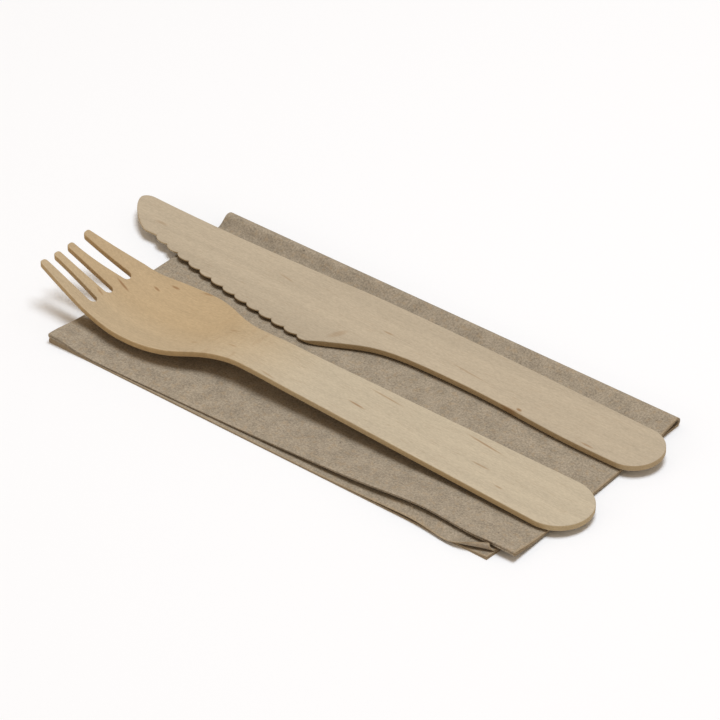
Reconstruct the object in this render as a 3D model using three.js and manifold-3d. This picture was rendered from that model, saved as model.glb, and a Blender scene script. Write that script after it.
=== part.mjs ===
// A disposable cutlery pack: a stamped wooden fork and a stamped wooden knife on a folded paper napkin.
// Millimetres, +Z up. X runs from the tine tips to the handle ends, Y from the loose edges of the
// napkin to its spine. The origin is the middle of the footprint, on the table.
import * as THREE from "three";
import * as BufferGeometryUtils from "three/addons/utils/BufferGeometryUtils.js";
import Module from "manifold-3d";

const wasm = await Module();
wasm.setup();

// The napkin: one sheet of crepe paper, folded in half three times
const sheetLength = 268.5; // along X when open
const sheetWidth = 269.6; // along Y when open
const paper = 0.12; // thickness of one ply
const layerGap = 0.04; // air between two pressed layers
const napkinTurn = -1.1; // degrees that the pack lies askew of the cutlery
const firstFoldSkew = 1.4; // how far the first fold runs out of parallel with the edges, at the right end
const outOfSquare = 0.04; // slant of the open side, as a share of the distance from the spine
const openSideBow = 0.25; // how far the two corners of the open side draw in

// The spine, the last fold: a springy loop that closes to a pinch at the left and stands open at the right
const pinchedRadius = 1.55; // middle of the folded stack, at the left end
const openRadius = 1.05; // the same at the right end
const pinchedSlope = 42; // degrees at which the upper half comes down from the loop, left end
const openSlope = 9; // the same at the right end
const slopeRadius = 26; // gentlest bend that lays the upper half flat again
const spineShare = 0.4789; // where the spine lies across the pack, as a share of its open width
const spineSkew = 2.1; // how much further out it lies at the right end
const halvesGap = 0.08; // air between the two halves of the pack

// Loose paper at the edge away from the spine
const cornerShare = 1.1; // how much thicker the pack stands at its two free corners, as a share
const cornerReach = 8; // how far that lift reaches in
const mouthHeight = 1.1; // how far the two halves part along the free edge
const mouthCentre = 100; // distance of the widest parting from the left end
const mouthLength = 34; // half length of the parting
const mouthDepth = 9; // how far in the parting reaches
const pressedShare = 0.3; // how much thinner the free edge is pressed between its left end and the mouth
const pressedDepth = 3; // how far in that reaches
const flapLength = 1.8; // how far the free corner of the sheet runs past the rest
const flapWidth = 42; // length of edge over which that runs out
const curlRadius = 0.85; // the corner is rolled up at this radius
const curlInset = 1.6; // the roll starts this far in at the open side
const curlLength = 22; // and runs out this far along the free edge

// Wood
const veneer = 1.6; // thickness of fork and knife
const restGap = 0.3; // clearance under what lies on the napkin

// The fork, from the tine tips at x = 0 to the end of the handle
const forkLength = 154.2;
const forkEndRadius = 8.9;
const neckHalfWidth = 6.8;
const neckPlace = 59; // distance of the slimmest place from the tips
const headHalfWidth = 13.2;
const headPlace = 32; // distance of the widest place from the tips
const tineLength = 15.3; // from the tips to the roots of the slots
const tineTips = [-7.9, -3, 1.8, 7.8]; // middles of the tips across the fork, unevenly stamped
const slotRoots = [-6.5, -0.8, 5.9]; // middles of the roots of the slots
const tineTipWidth = 2.2;
const slotRootWidth = 2.3;
const shoulderHalfWidth = 11.5; // half width of the head at the roots of the slots
const tineTipRounding = 0.8;
const tineFlare = 0.35; // share of its length over which a tine keeps the width of its tip
const cheek = 0.7; // how far the sides of the head swell just behind the slots
const forkHeights = [ // [distance from the tips, height over the bottom of the bowl]
  [0, 8.7],
  [10, 4.6],
  [20, 1.1],
  [30, 0],
  [40, 0.9],
  [50, 3.5],
  [59, 4.5],
  [73, 3.9],
  [154, 0],
];
const forkHollows = [ // [distance from the tips, hollow across the width]
  [0, 1.2],
  [20, 2],
  [32, 2.3],
  [44, 2],
  [54, 0.6],
  [62, 0],
  [154, 0],
];
const forkTurn = 0.4; // degrees
const forkAxis = 19.7; // distance of the fork's axis from the free edge of the napkin, at the bowl
const forkOverhang = 12.3; // reach of the tines past the napkin

// The knife, from its tip at x = 0 to the end of the handle, with its back along y = 0
const knifeLength = 161.9;
const knifeEndRadius = 7.4;
const knifeEndDrop = 10; // distance of the middle of the round end below the back
const gripDepth = 14.8; // from the back to the edge at the slimmest place of the handle
const gripPlace = 100; // distance of that place from the tip
const heelDepth = 22.5; // from the back to the heel of the blade
const heelPlace = 70; // distance of the heel from the tip
const edgeStart = 13; // distance of the first notch from the tip
const edgeStartDepth = 11.2; // and its depth below the back
const edgeBow = 1.3; // belly of the cutting edge
const toothCount = 13;
const toothHeight = 0.75;
const backHollow = 0.7; // how far the back draws in along the blade
const tipBack = 3; // distance at which the tip rounds off from the back
const tipDepth = 1.9; // depth below the back at which the tip is furthest out
const bevelWidth = 3.2; // width over which the blade thins to its edge
const edgeThickness = 0.55;
const bevelShare = 0.6; // share of the thinning that is taken off the top
const knifeTilt = 3; // degrees that the back stands higher, on the spine of the napkin
const knifeOverhang = 20; // reach of the tip past the napkin
const knifeBack = 58.2; // distance of the back from the free edge of the napkin

// Finishes
const bowlColour = 0xbda885;
const bladeColour = 0xbfb097;
const paperColour = 0xa0927f;

const radians = THREE.MathUtils.degToRad;
const lerp = THREE.MathUtils.lerp;
const clamp = THREE.MathUtils.clamp;
const smoothstep = THREE.MathUtils.smoothstep;

// A bump of height 1 that dies away over a reach
function bump(distance, reach) {
  return Math.exp(-((distance / reach) ** 2));
}

// A smooth curve of heights through a few [place, height] keys
function throughKeys(keys, place) {
  const last = keys.length - 1;
  let index = 0;
  while (index < last - 1 && place > keys[index + 1][0]) index += 1;
  const slopeAt = (i) => {
    const before = keys[Math.max(i - 1, 0)];
    const after = keys[Math.min(i + 1, last)];
    return (after[1] - before[1]) / (after[0] - before[0]);
  };
  const [start, low] = keys[index];
  const [end, high] = keys[index + 1];
  const span = end - start;
  const t = clamp((place - start) / span, 0, 1);
  const rise = (3 - 2 * t) * t * t;
  const lead = t * (1 - t) ** 2 * span * slopeAt(index);
  const trail = t * t * (t - 1) * span * slopeAt(index + 1);
  return low + (high - low) * rise + lead + trail;
}

// Bare positions with shared corners, as a closed body needs them
function welded(geometry) {
  geometry.deleteAttribute("normal");
  geometry.deleteAttribute("uv");
  return BufferGeometryUtils.mergeVertices(geometry, 1e-5);
}

function toManifold(geometry) {
  const body = welded(geometry);
  return new wasm.Manifold(new wasm.Mesh({
    numProp: 3,
    vertProperties: new Float32Array(body.attributes.position.array),
    triVerts: new Uint32Array(body.index.array),
  }));
}

function toGeometry(manifold) {
  const mesh = manifold.getMesh();
  const geometry = new THREE.BufferGeometry();
  geometry.setAttribute("position", new THREE.BufferAttribute(mesh.vertProperties, 3));
  geometry.setIndex(new THREE.BufferAttribute(mesh.triVerts, 1));
  return geometry;
}

function mesh(name, geometry, colour, roughness) {
  const material = new THREE.MeshStandardMaterial({ color: colour, roughness, metalness: 0 });
  const result = new THREE.Mesh(geometry, material);
  result.name = name;
  return result;
}

// Even grid lines over stretches given as [end, number of steps]
function gridLines(start, stretches) {
  const lines = [start];
  for (const [end, steps] of stretches) {
    const from = lines[lines.length - 1];
    for (let step = 1; step <= steps; step += 1) lines.push(lerp(from, end, step / steps));
  }
  return lines;
}

// A plate on a grid of lines: two skins and a rim, with each grid point moved by a rule. A cell is split
// along one diagonal, or along the other where it is mirrored, so that folded layers stay parallel
function shapedPlate(xLines, yLines, shape, isMirrored) {
  const columns = xLines.length;
  const rows = yLines.length;
  const skin = columns * rows;
  const positions = new Float32Array(2 * skin * 3);
  const point = new THREE.Vector3();
  for (let i = 0; i < 2 * skin; i += 1) {
    const place = i % skin;
    const side = i < skin ? -0.5 : 0.5;
    point.set(xLines[place % columns], yLines[Math.floor(place / columns)], side);
    shape(point);
    point.toArray(positions, 3 * i);
  }
  const triangles = [];
  const quad = (a, b, c, d) => triangles.push(a, b, c, a, c, d);
  for (let row = 0; row < rows - 1; row += 1) {
    for (let column = 0; column < columns - 1; column += 1) {
      const a = row * columns + column;
      const corners = [a, a + 1, a + 1 + columns, a + columns];
      if (isMirrored && isMirrored(xLines[column], yLines[row])) corners.push(corners.shift());
      const [p, q, r, s] = corners;
      quad(p + skin, q + skin, r + skin, s + skin);
      quad(p, s, r, q);
    }
  }
  const rim = (a, b) => quad(a, b, b + skin, a + skin);
  for (let column = 0; column < columns - 1; column += 1) {
    rim(column, column + 1);
    rim(skin - 1 - column, skin - 2 - column);
  }
  for (let row = 0; row < rows - 1; row += 1) {
    rim((row + 1) * columns, row * columns);
    rim((row + 1) * columns - 1, (row + 2) * columns - 1);
  }
  const geometry = new THREE.BufferGeometry();
  geometry.setAttribute("position", new THREE.BufferAttribute(positions, 3));
  geometry.setIndex(triangles);
  return geometry;
}

// A fold seen end-on is a chain of arcs, each a [length, curvature]; this walks a distance along it
function follow(chain, distance) {
  let forward = 0;
  let up = 0;
  let heading = 0;
  let left = distance;
  for (const [length, curvature] of chain) {
    const step = Math.min(left, length);
    const turn = step * curvature;
    const chord = curvature === 0 ? step : 2 * Math.sin(turn / 2) / curvature;
    forward += chord * Math.cos(heading + turn / 2);
    up += chord * Math.sin(heading + turn / 2);
    heading += turn;
    left -= step;
  }
  return { forward, up, heading };
}

// Bends what lies beyond a fold line along a chain, with z as the height over the chain
function fold(point, axis, line, sense, chain) {
  const beyond = (point[axis] - line) * sense;
  if (beyond <= 0) return;
  const { forward, up, heading } = follow(chain, beyond);
  const height = point.z;
  point[axis] = line + sense * (forward - height * Math.sin(heading));
  point.z = up + height * Math.cos(heading);
}

// A sharp fold: half a turn at a radius that leaves a gap between the pressed layers
function sharpFold(stack, gap) {
  const radius = (stack + gap) / 2;
  return { radius, length: Math.PI * radius, chain: [[Math.PI * radius, 1 / radius], [Infinity, 0]] };
}

// The spine: more than half a turn at a springy radius, a straight run down, and a bend to lie flat
function springyFold(stack, gap, radius, slope, easeRadius) {
  const drop = radius * (1 + Math.cos(slope)) - stack - gap;
  const bendShare = 0.6; // most of the drop that the bend may take
  const bendRadius = Math.min(easeRadius, bendShare * drop / (1 - Math.cos(slope)));
  const run = (drop - bendRadius * (1 - Math.cos(slope))) / Math.sin(slope);
  const loop = radius * (Math.PI + slope);
  const ease = bendRadius * slope;
  return {
    loop,
    length: loop + run + ease,
    chain: [[loop, 1 / radius], [run, 0], [ease, -1 / bendRadius], [Infinity, 0]],
  };
}

// The folded napkin: a flat plate taken through its three folds in the order a hand makes them
function napkinGeometry() {
  const twoPlies = 2 * paper + layerGap;
  const fourPlies = 2 * twoPlies + layerGap;
  const firstFold = sharpFold(paper, layerGap);
  const secondFold = sharpFold(twoPlies, layerGap);
  const packLength = (sheetLength - secondFold.length) / 2;
  const packWidth = (sheetWidth - firstFold.length) / 2;
  const spinePlace = packWidth * spineShare;
  const spineAt = (x) => {
    const along = clamp(x / packLength, 0, 1);
    const radius = lerp(pinchedRadius, openRadius, along);
    const slope = radians(lerp(pinchedSlope, openSlope, along));
    return springyFold(fourPlies, halvesGap, radius, slope, slopeRadius);
  };
  const pinched = spineAt(0);
  const open = spineAt(packLength);
  const loopEnd = spinePlace + Math.max(pinched.loop, spineSkew + open.loop);
  const bendEnd = spinePlace + Math.max(pinched.length, spineSkew + open.length);

  const shape = (point) => {
    point.z *= paper;
    const surplus = flapLength * smoothstep(-point.x, packLength - flapWidth, packLength);
    point.y -= surplus * Math.max(1 - point.y / spinePlace, 0);
    const inCurledPly = point.x < 0 && point.y < spinePlace;

    const askew = firstFoldSkew * clamp(Math.abs(point.x) / packLength, 0, 1);
    const isBack = point.y > sheetWidth / 2;
    const fromEdge = isBack ? sheetWidth - point.y : point.y;
    const drawnIn = askew * clamp((fromEdge - spinePlace) / (packWidth - spinePlace), 0, 1);
    point.y -= isBack ? 2 * askew - drawnIn : drawnIn;
    fold(point, "y", packWidth - askew, 1, firstFold.chain);
    point.z -= firstFold.radius;
    fold(point, "x", 0, -1, secondFold.chain);
    point.z -= secondFold.radius;
    const alongOpenSide = clamp(point.x / packLength, 0, 1);
    const fromSpine = point.y - spinePlace;
    point.x += alongOpenSide * (outOfSquare * fromSpine - openSideBow * (fromSpine / spinePlace) ** 2);
    fold(point, "y", spinePlace + spineSkew * alongOpenSide, 1, spineAt(point.x).chain);
    point.z += fourPlies / 2;
    loosen(point, fourPlies, packLength);
    if (inCurledPly) curl(point, fourPlies - paper / 2, packLength);
  };

  const nearEdge = [[1.5 * curlInset, 6], [cornerReach, 2], [2 * cornerReach, 2], [spinePlace, 2]];
  const spine = [[loopEnd, 10], [bendEnd, 3]];
  const farEdge = [[packWidth - 2 * cornerReach, 1], [packWidth - cornerReach, 2], [packWidth, 2]];
  const yHalf = gridLines(0, [...nearEdge, ...spine, ...farEdge]);
  const yLines = [...yHalf, ...gridLines(packWidth, [[packWidth + firstFold.length, 4]]).slice(1)];
  for (let i = yHalf.length - 2; i >= 0; i -= 1) yLines.push(sheetWidth - yHalf[i]);
  const xHalf = gridLines(0, [[cornerReach, 2], [packLength - 1.2 * curlLength, 4], [packLength, 6]]);
  const xLines = xHalf.map((x) => -secondFold.length - x).reverse();
  xLines.push(...gridLines(-secondFold.length, [[0, 4]]).slice(1), ...xHalf.slice(1));
  const isMirrored = (x, y) => (x < 0) !== (y < packWidth);
  return shapedPlate(xLines, yLines, shape, isMirrored);
}

// The free corner of the ply under the mouth rolls up and over, about a line drawn across the corner
function curl(point, ply, packLength) {
  const slant = Math.atan2(curlInset + flapLength, curlLength);
  const startX = packLength - curlLength;
  const across = new THREE.Vector2(point.x - startX, point.y + flapLength);
  across.rotateAround(new THREE.Vector2(), -slant);
  const local = { y: across.y, z: point.z - ply };
  fold(local, "y", 0, -1, [[Infinity, 1 / curlRadius]]);
  across.y = local.y;
  across.rotateAround(new THREE.Vector2(), slant);
  point.set(across.x + startX, across.y - flapLength, local.z + ply);
}

// Unpressed paper: the pack thickens at its free corners, and its halves part along the free edge
function loosen(point, stack, packLength) {
  const inwards = Math.max(point.y, 0);
  const corners = bump(point.x, cornerReach) + bump(point.x - packLength, cornerReach);
  const over = clamp((point.z - stack) / halvesGap, 0, 1);
  const parting = mouthHeight * bump(point.x - mouthCentre, mouthLength) * bump(inwards, mouthDepth);
  const swelling = cornerShare * Math.min(corners, 1) * bump(inwards, cornerReach);
  const beforeMouth = 1 - smoothstep(point.x, mouthCentre - mouthLength, mouthCentre);
  const pressing = pressedShare * beforeMouth * (1 - Math.min(corners, 1)) * bump(inwards, pressedDepth);
  point.z = point.z * (1 + swelling - pressing) + over * parting;
}

function napkin() {
  const result = mesh("napkin", napkinGeometry(), paperColour, 0.95);
  result.rotation.z = radians(napkinTurn);
  return result;
}

// A flat blank cut to an outline, tall enough to pass through the pressed board
function cutter(outline, steps) {
  const height = 60;
  const prism = new THREE.ExtrudeGeometry(outline, {
    depth: height,
    bevelEnabled: false,
    curveSegments: steps,
  });
  prism.translate(0, 0, -height / 3);
  return toManifold(prism);
}

// Outline of the fork: a round handle end, a waisted neck, a broad head and tapered tines
function forkOutline() {
  const rootRadius = slotRootWidth / 2;
  const rootPlace = tineLength - rootRadius;
  const flarePlace = tineFlare * tineLength;
  const endCentre = forkLength - forkEndRadius;
  const outline = new THREE.Shape();
  outline.absarc(endCentre, 0, forkEndRadius, -Math.PI / 2, Math.PI / 2, false);
  outline.lineTo(neckPlace, neckHalfWidth);
  const waistPlace = lerp(headPlace, neckPlace, 0.5);
  const frontPlace = lerp(headPlace, tineLength, 0.5);
  outline.bezierCurveTo(waistPlace, neckHalfWidth, waistPlace, headHalfWidth, headPlace, headHalfWidth);
  outline.bezierCurveTo(frontPlace, headHalfWidth, frontPlace, shoulderHalfWidth + cheek,
    tineLength, shoulderHalfWidth);
  outline.lineTo(tineTipRounding, tineTips[slotRoots.length] + tineTipWidth / 2);
  for (let tine = slotRoots.length; tine >= 0; tine -= 1) {
    const high = tineTips[tine] + tineTipWidth / 2;
    const low = high - tineTipWidth;
    outline.quadraticCurveTo(0, high, 0, high - tineTipRounding);
    outline.lineTo(0, low + tineTipRounding);
    outline.quadraticCurveTo(0, low, tineTipRounding, low);
    if (tine > 0) {
      const root = slotRoots[tine - 1];
      const next = tineTips[tine - 1] + tineTipWidth / 2;
      outline.quadraticCurveTo(flarePlace, low, rootPlace, root + rootRadius);
      outline.absarc(rootPlace, root, rootRadius, Math.PI / 2, -Math.PI / 2, true);
      outline.quadraticCurveTo(flarePlace, next, tineTipRounding, next);
    }
  }
  outline.lineTo(tineLength, -shoulderHalfWidth);
  outline.bezierCurveTo(frontPlace, -shoulderHalfWidth - cheek, frontPlace, -headHalfWidth,
    headPlace, -headHalfWidth);
  outline.bezierCurveTo(waistPlace, -headHalfWidth, waistPlace, -neckHalfWidth, neckPlace, -neckHalfWidth);
  outline.closePath();
  return outline;
}

// The pressed board: a line of heights along the fork, hollowed across the head
function forkBoard() {
  const margin = 1;
  const reach = headHalfWidth + margin;
  const xLines = gridLines(-margin, [[1.1 * neckPlace, 24], [forkLength + margin, 6]]);
  const yLines = gridLines(-reach, [[reach, 10]]);
  return toManifold(shapedPlate(xLines, yLines, (point) => {
    const hollow = throughKeys(forkHollows, point.x) * (point.y / headHalfWidth) ** 2;
    point.z = (point.z + 0.5) * veneer + throughKeys(forkHeights, point.x) + hollow;
  }));
}

function fork() {
  const body = forkBoard().intersect(cutter(forkOutline(), 10));
  const result = mesh("fork", toGeometry(body), bowlColour, 0.6);
  result.rotation.z = radians(forkTurn);
  result.position.set(-forkOverhang, forkAxis - forkOverhang * Math.sin(radians(forkTurn)), 0);
  return result;
}

// Height of the cutting edge's line of notches, below the back
function notchLine(place) {
  const t = (place - edgeStart) / (heelPlace - edgeStart);
  return -lerp(edgeStartDepth, heelDepth, t) - edgeBow * 4 * t * (1 - t);
}

// Outline of the knife: back, round handle end, waisted grip, heel, raked teeth and a clipped tip
function knifeOutline() {
  const endCentre = knifeLength - knifeEndRadius;
  const endDepth = knifeEndDrop + knifeEndRadius;
  const outline = new THREE.Shape();
  outline.moveTo(tipBack, 0);
  outline.bezierCurveTo(tipBack / 3, 0, 0, -tipDepth / 2, 0, -tipDepth);
  outline.bezierCurveTo(tipBack / 10, -2.3 * tipDepth, edgeStart / 3, -edgeStartDepth * 0.8,
    edgeStart * 0.7, -edgeStartDepth);
  outline.lineTo(edgeStart, notchLine(edgeStart));
  const pitch = (heelPlace - edgeStart) / toothCount;
  for (let tooth = 0; tooth < toothCount; tooth += 1) {
    const start = edgeStart + tooth * pitch;
    const end = start + pitch;
    outline.bezierCurveTo(start + 0.1 * pitch, notchLine(start) - 1.5 * toothHeight,
      end - 0.45 * pitch, notchLine(end) - 0.9 * toothHeight, end, notchLine(end));
  }
  const waistPlace = lerp(heelPlace, gripPlace, 0.4);
  const palmPlace = lerp(gripPlace, endCentre, 0.5);
  outline.bezierCurveTo(waistPlace, -1.17 * gripDepth, waistPlace, -gripDepth, gripPlace, -gripDepth);
  outline.bezierCurveTo(palmPlace, -gripDepth, palmPlace, -endDepth, endCentre, -endDepth);
  outline.absarc(endCentre, -knifeEndDrop, knifeEndRadius, -Math.PI / 2, Math.PI / 2, false);
  outline.bezierCurveTo(palmPlace, -gripDepth / 10, gripPlace, 0, heelPlace, 0);
  outline.quadraticCurveTo(0.45 * heelPlace, -2 * backHollow, tipBack, 0);
  outline.closePath();
  return outline;
}

// The knife's board: flat, thinned from both faces towards the cutting edge
function knifeBoard() {
  const margin = 1;
  const deepest = heelDepth + toothHeight + 2 * margin;
  const xLines = gridLines(-margin, [[1.06 * heelPlace, 22], [knifeLength + margin, 6]]);
  const yLines = gridLines(-deepest, [[-gripDepth, 6], [-edgeStartDepth + 3, 5], [margin, 3]]);
  return toManifold(shapedPlate(xLines, yLines, (point) => {
    const fromEdge = point.y - notchLine(clamp(point.x, edgeStart, heelPlace));
    const runOut = smoothstep(point.x, heelPlace - bevelWidth, heelPlace + bevelWidth);
    const thinned = (veneer - edgeThickness) * clamp(1 - fromEdge / bevelWidth, 0, 1) * (1 - runOut);
    point.z = point.z < 0 ? (1 - bevelShare) * thinned : veneer - bevelShare * thinned;
  }));
}

function knife() {
  const body = knifeBoard().intersect(cutter(knifeOutline(), 6));
  const result = mesh("knife", toGeometry(body), bladeColour, 0.6);
  result.rotation.x = radians(knifeTilt);
  result.position.set(-knifeOverhang, knifeBack, 0);
  return result;
}

// Smallest upright distance from the corners of one mesh to the faces of another
function smallestDrop(from, onto, direction) {
  const ray = new THREE.Raycaster();
  const corner = new THREE.Vector3();
  const position = from.geometry.attributes.position;
  const box = new THREE.Box3().setFromObject(onto);
  const side = onto.material.side;
  onto.material.side = THREE.DoubleSide;
  let smallest = Infinity;
  for (let i = 0; i < position.count; i += 1) {
    corner.fromBufferAttribute(position, i).applyMatrix4(from.matrixWorld);
    if (!box.containsPoint(corner.clone().setZ(box.min.z))) continue;
    ray.set(corner, direction);
    const hit = ray.intersectObject(onto, false)[0];
    if (hit) smallest = Math.min(smallest, hit.distance);
  }
  onto.material.side = side;
  return smallest;
}

// Lowers a piece from above until its nearest point lies just clear of what carries it
function rest(piece, carrier) {
  const start = 60;
  piece.position.z = start;
  piece.updateMatrixWorld(true);
  carrier.updateMatrixWorld(true);
  const down = smallestDrop(piece, carrier, new THREE.Vector3(0, 0, -1));
  const up = smallestDrop(carrier, piece, new THREE.Vector3(0, 0, 1));
  piece.position.z = start - Math.min(down, up) + restGap;
}

const group = new THREE.Group();
const napkinMesh = napkin();
const forkMesh = fork();
const knifeMesh = knife();
rest(forkMesh, napkinMesh);
rest(knifeMesh, napkinMesh);
group.add(napkinMesh, forkMesh, knifeMesh);

// Stand the pack on the table, over the middle of its footprint
group.updateMatrixWorld(true);
const extent = new THREE.Box3().setFromObject(group);
const middle = extent.getCenter(new THREE.Vector3());
group.position.set(-middle.x, -middle.y, -extent.min.z);

export default group;
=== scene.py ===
"""Looks for a disposable cutlery pack: a pressed wooden fork and a toothed knife on a folded napkin.

Metres, +Z up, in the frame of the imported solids. Each piece takes the place of one solid, and its
mesh is set down where that solid lies.
"""
import math

import bmesh
import bpy
import numpy as np
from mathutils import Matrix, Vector


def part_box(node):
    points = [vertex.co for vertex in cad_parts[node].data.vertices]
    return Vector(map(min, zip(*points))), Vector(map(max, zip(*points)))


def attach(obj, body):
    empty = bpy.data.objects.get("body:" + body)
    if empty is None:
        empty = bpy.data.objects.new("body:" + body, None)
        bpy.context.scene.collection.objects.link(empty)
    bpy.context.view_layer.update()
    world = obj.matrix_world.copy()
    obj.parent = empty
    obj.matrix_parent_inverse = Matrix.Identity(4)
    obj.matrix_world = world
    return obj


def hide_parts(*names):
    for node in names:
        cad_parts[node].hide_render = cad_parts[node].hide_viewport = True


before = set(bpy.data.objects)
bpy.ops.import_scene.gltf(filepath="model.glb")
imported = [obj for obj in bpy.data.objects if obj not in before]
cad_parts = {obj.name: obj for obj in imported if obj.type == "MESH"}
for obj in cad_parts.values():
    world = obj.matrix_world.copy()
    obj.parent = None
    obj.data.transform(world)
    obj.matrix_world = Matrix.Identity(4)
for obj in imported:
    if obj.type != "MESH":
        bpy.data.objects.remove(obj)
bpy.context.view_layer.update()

bl_info = {
    "name": "Wooden Cutlery Pack",
    "version": (1, 0, 0),
    "blender": (4, 5, 0),
    "location": "View3D > Sidebar > Cutlery",
    "description": "Builds a wooden fork and knife on a folded paper napkin",
    "category": "Add Mesh",
}

MM = 0.001

# Folding of the napkin: how the spine slopes down to the pack, and how far the folds run askew
PINCHED_SLOPE = math.radians(42)
OPEN_SLOPE = math.radians(9)
SLOPE_RADIUS = 26 * MM
BEND_SHARE = 0.6
SPINE_SHARE = 0.4789
SPINE_SKEW = 2.1 * MM
FIRST_FOLD_SKEW = 1.4 * MM
HALVES_GAP = 0.08 * MM
OUT_OF_SQUARE = 0.04
OPEN_SIDE_BOW = 0.25 * MM

# Loose paper: swollen corners, the mouth, the pressed edge, the flap of one ply, its curl and its lip
CORNER_SHARE = 1.1
CORNER_REACH = 8 * MM
MOUTH_CENTRE = 100 * MM
MOUTH_LENGTH = 34 * MM
MOUTH_DEPTH = 9 * MM
PRESSED_SHARE = 0.3
PRESSED_DEPTH = 3 * MM
FLAP_LENGTH = 1.8 * MM
FLAP_WIDTH = 24 * MM
CURL_INSET = 3.7 * MM
CURL_LENGTH = 18 * MM
LIP_HEIGHT = 1.65 * MM
LIP_CENTRE = 111 * MM
LIP_LENGTH = 13 * MM
LIP_DEPTH = 12 * MM
RIDGE_SHARE = 0.95
RIDGE_PLACE = 3 * MM
RIPPLE = 0.22 * MM
RIPPLE_LENGTH = 3.4 * MM
SLOW_RIPPLE = 0.43

# Largest steps of the napkin's grid: across it, then along it
ROLL_STEP, BEND_STEP, PLAIN_STEP, SIDE_STEP = 0.25 * MM, 0.6 * MM, 2.4 * MM, 0.8 * MM
END_STEP, LONG_STEP, MOUTH_STEP, CORNER_STEP = 0.9 * MM, 2.6 * MM, 1.6 * MM, 0.7 * MM
CREASE_STEPS = 8
RIM_REACH = 0.6 * MM

# Shape of the fork
TINE_LENGTH = 15.3 * MM
TINE_TIPS = np.array([-7.9, -3, 1.8, 7.8]) * MM
SLOT_ROOTS = np.array([-6.5, -0.8, 5.9]) * MM
TINE_TIP_WIDTH = 2.2 * MM
TINE_TIP_ROUNDING = 0.8 * MM
TINE_FLARE = 0.35
SLOT_ROOT_WIDTH = 2.3 * MM
SHOULDER = 11.5 * MM
CHEEK = 0.7 * MM
HEAD_PLACE = 32 * MM
NECK_PLACE = 59 * MM
# Height of the underside's middle line, and how far the sides of the head stand above it
FORK_HEIGHTS = np.array([
    (0, 8.7), (10, 4.6), (20, 1.1), (30, 0), (40, 0.9), (50, 3.5), (59, 4.5), (73, 3.9), (154, 0),
]) * MM
FORK_HOLLOWS = np.array([(0, 1.2), (20, 2), (32, 2.3), (44, 2), (54, 0.6), (62, 0), (154, 0)]) * MM

# Shape of the knife
KNIFE_END_DROP = 10 * MM
GRIP_DEPTH = 14.8 * MM
GRIP_PLACE = 100 * MM
HEEL_DEPTH = 22.5 * MM
HEEL_PLACE = 70 * MM
EDGE_START = 13 * MM
EDGE_START_DEPTH = 11.2 * MM
EDGE_BOW = 1.3 * MM
BACK_HOLLOW = 0.7 * MM
TIP_BACK = 3 * MM
TIP_DEPTH = 1.9 * MM
BEVEL_SHARE = 0.6
# Shares that place the inner corners of its curves; pairs are along and down
WAIST_SHARE = 0.4
TIP_BULGE = 2.3
EDGE_LEAD = (0.7, 0.8)
TOOTH_DROP = (0.1, 1.5)
TOOTH_RISE = (0.45, 0.9)
HEEL_SWEEP = 1.17
HOLLOW_SHARE = 0.45

# Grid of both wooden pieces: largest steps along them, and lines at tips, ends, edges and teeth, as
# shares of what they cross
TINE_STEP, HEAD_STEP, GRIP_STEP, HANDLE_STEP = 0.5 * MM, 0.6 * MM, 0.8 * MM, 1.2 * MM
QUARTER = np.linspace(0, math.pi / 2, 12)
END_QUARTER = np.linspace(0, math.pi / 2, 30)
TIP_LINES = np.linspace(0, 1, 14) ** 2
EDGE_LINES = np.array([0, 0.12, 0.3, 0.55, 1.0])
TOOTH_LINES = np.array([0, 0.02, 0.05, 0.09, 0.14, 0.2, 0.27, 0.36, 0.46, 0.57, 0.68, 0.79, 0.9])
TINE_COLUMNS = 9
BLADE_COLUMNS = 26
FLARE_POINTS = 100
SEGMENT_BATCH = 1500
REACH_SHARE = 0.3
EASED_SHARE = 0.45

# Tolerances
WELD_DISTANCE = 1e-7
TOUCHING = 1e-9
SHARP_ANGLE = math.radians(40)

# Finish of the wood and the paper: colours as seen on a screen
MARK_BROWN = (146, 111, 74)
PULP_TAN = (168, 142, 108)
# Painted light: a paler tan for the paper's edges, standing in for light shining through the thin plies
EDGE_LIGHT_TAN = (166, 142, 108)
CUT_EDGE_TINT = (0.92, 0.83, 0.66, 1)
# Places along a piece: browned up to the first and plain from the second, or both beyond the piece
FORK_BROWNING = (-34 * MM, -6 * MM)
NO_BROWNING = (-1.0, -0.9)
NECK_FADE = 14 * MM
# Across the head, from near to far side: the browning is painted weaker near and stronger far, as painted
# shade
HEAD_SHADE_SIDES = (-22 * MM, -6 * MM)
RELIEF = 0.1 * MM

# Brown marks in the wood: (x, y, length, width) in mm, turn in degrees, depth of colour
FORK_MARKS = (
    (-57.7, -9.2, 6.0, 0.9, -12, 0.9), (-59.5, -15.4, 3.6, 0.8, -15, 0.6),
    (-51.3, -4.3, 3.0, 0.9, -10, 0.8), (-47.8, -1.4, 3.2, 0.9, 3, 0.8), (-39.4, 0.6, 4.5, 0.8, 6, 0.6),
    (-29.7, -16.3, 3.2, 0.7, 8, 0.45), (-24.2, -8.4, 3.5, 0.7, 5, 0.4),
    (-19.9, -13.9, 3.8, 0.7, -2, 0.45), (-5.9, -18.0, 6.4, 0.7, -7, 0.4),
    (16.6, -13.3, 6.8, 0.8, -4, 0.7), (20.2, -6.6, 13.0, 0.7, -3, 0.5), (47.7, -5.6, 14.0, 0.8, -5, 0.6),
    (51.6, -12.4, 7.0, 0.7, 0, 0.5), (59.3, -16.0, 3.0, 0.7, -2, 0.5),
)
KNIFE_MARKS = (
    (-7.0, 9.3, 6.8, 2.6, 60, 0.3), (2.6, 16.5, 4.0, 0.7, 1, 0.5), (26.7, 15.6, 15.0, 0.6, -6, 0.35),
    (42.4, 10.5, 10.5, 0.6, 0, 0.5), (44.7, 11.3, 2.2, 1.2, -12, 0.85), (64.9, 10.0, 5.0, 0.8, -3, 0.6),
    (-30.8, 19.3, 7.4, 0.6, -10, 0.35),
)

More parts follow.
